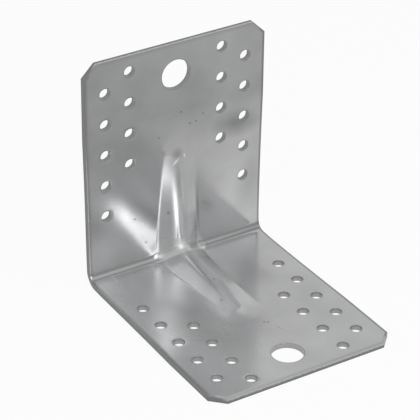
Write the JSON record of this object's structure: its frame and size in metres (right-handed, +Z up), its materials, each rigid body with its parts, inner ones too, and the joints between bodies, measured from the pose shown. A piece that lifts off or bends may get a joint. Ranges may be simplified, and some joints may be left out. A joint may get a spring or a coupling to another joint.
{
  "type": "corner brace bracket",
  "caption": "Reinforced right-angle bracket of folded galvanised sheet steel, with nail holes, a bolt hole in each leg and a pressed rib across the fold.",
  "frame": {"origin": "middle of the bounding box's bottom: on the underside of the flat leg, half way along it and half way across", "axes": "+X across the bracket along the fold, +Y towards the back of the upright leg, +Z up along the upright leg"},
  "size_m": [0.09, 0.108, 0.108],
  "materials": {
    "galvanised_steel": "satin galvanised"
  },
  "bodies": {
    "root": {"bracket": "galvanised_steel"}
  },
  "joints": []
}
